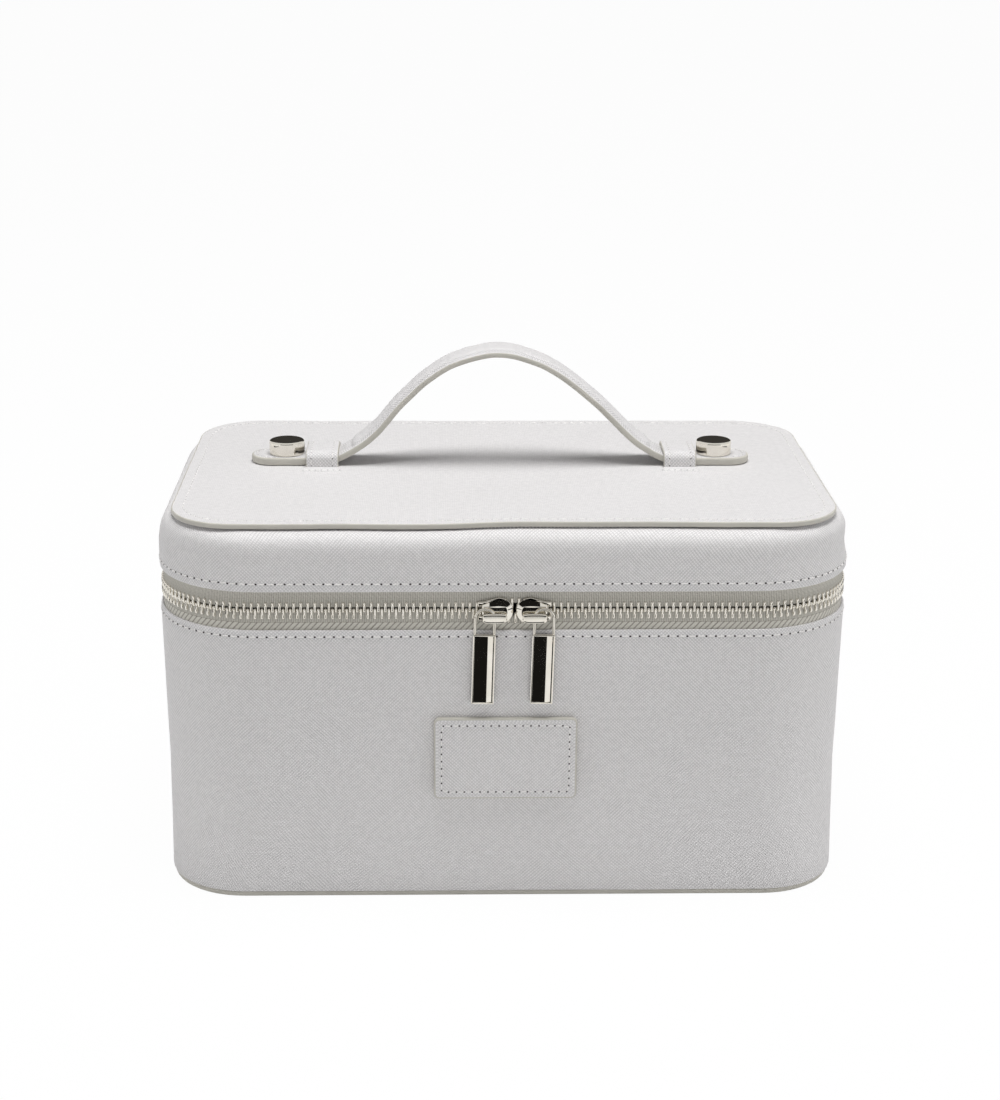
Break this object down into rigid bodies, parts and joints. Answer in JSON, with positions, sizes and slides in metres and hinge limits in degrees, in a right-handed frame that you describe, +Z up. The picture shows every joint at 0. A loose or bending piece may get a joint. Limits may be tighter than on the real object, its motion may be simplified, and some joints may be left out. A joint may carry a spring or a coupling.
{
  "type": "vanity case",
  "caption": "Rigid leather makeup storage case with a zip-around hinged lid, two zip pulls and a strap handle.",
  "frame": {"origin": "middle of the underside of the case, on the surface that it stands on", "axes": "+X to the right seen from the front, +Y from the front to the back, +Z up"},
  "size_m": [0.25, 0.1613, 0.1859],
  "materials": {
    "leather": "pale grey saffiano leather with a fine cross-hatched grain",
    "zip_tape": "woven warm grey zip tape",
    "zip_metal": "bright nickel zip teeth",
    "hardware": "polished nickel",
    "lining": "smooth light grey lining cloth",
    "board": "stiff grey board"
  },
  "bodies": {
    "base": {"outer_wall": "leather", "base_board": "board", "base_lining": "lining", "bottom_panel": "leather", "front_patch": "leather", "zip_tape_lower": "zip_tape", "zip_teeth_lower": "zip_metal", "zip_stops_lower": "zip_metal", "back_hinge_strip": "leather"},
    "lid": {"lid_cover": "leather", "lid_board": "board", "lid_lining": "lining", "top_panel": "leather", "zip_tape_upper": "zip_tape", "zip_teeth_upper": "zip_metal", "zip_stops_upper": "zip_metal", "keeper_left": "leather", "keeper_right": "leather"},
    "slider_left": {"slider_left": "hardware"},
    "slider_right": {"slider_right": "hardware"},
    "pull_left": {"pull_bail_left": "hardware", "pull_plate_left": "hardware"},
    "pull_right": {"pull_bail_right": "hardware", "pull_plate_right": "hardware"},
    "handle": {"handle_strap": "leather"},
    "handle_end_left": {"strap_end_left": "leather", "stud_left": "hardware", "stud_screw_left": "hardware"},
    "handle_end_right": {"strap_end_right": "leather", "stud_right": "hardware", "stud_screw_right": "hardware"}
  },
  "joints": [
    {"name": "lid_hinge", "type": "hinge", "parent": "base", "child": "lid", "pos_m": [0, 0.078, 0.1108], "axis": [-1, 0, 0], "range_deg": [0, 105], "deforming": ["back_hinge_strip", "zip_teeth_lower", "zip_teeth_upper"]},
    {"name": "slider_left_run", "type": "slide", "parent": "base", "child": "slider_left", "axis": [-1, 0, 0], "range_m": [0, 0.062], "deforming": ["zip_teeth_lower", "zip_teeth_upper"]},
    {"name": "slider_right_run", "type": "slide", "parent": "base", "child": "slider_right", "axis": [1, 0, 0], "range_m": [0, 0.062], "deforming": ["zip_teeth_lower", "zip_teeth_upper"]},
    {"name": "pull_left_swing", "type": "hinge", "parent": "slider_left", "child": "pull_left", "pos_m": [-0.0075, -0.0804, 0.1089], "axis": [0, 1, 0], "range_deg": [-10, 90]},
    {"name": "pull_right_swing", "type": "hinge", "parent": "slider_right", "child": "pull_right", "pos_m": [0.0133, -0.0804, 0.1089], "axis": [0, -1, 0], "range_deg": [-10, 90]},
    {"name": "handle_press", "type": "slide", "parent": "lid", "child": "handle", "axis": [0, 0, -1], "range_m": [0, 0.036], "deforming": ["handle_strap"]},
    {"name": "handle_end_left_slide", "type": "slide", "parent": "lid", "child": "handle_end_left", "axis": [-1, 0, 0], "range_m": [0, 0.015]},
    {"name": "handle_end_right_slide", "type": "slide", "parent": "lid", "child": "handle_end_right", "axis": [1, 0, 0], "range_m": [0, 0.015]}
  ],
  "couplings": [
    {"joint": "handle_end_left_slide", "follows": "handle_press", "ratio": 0.4166},
    {"joint": "handle_end_right_slide", "follows": "handle_press", "ratio": 0.4166}
  ]
}
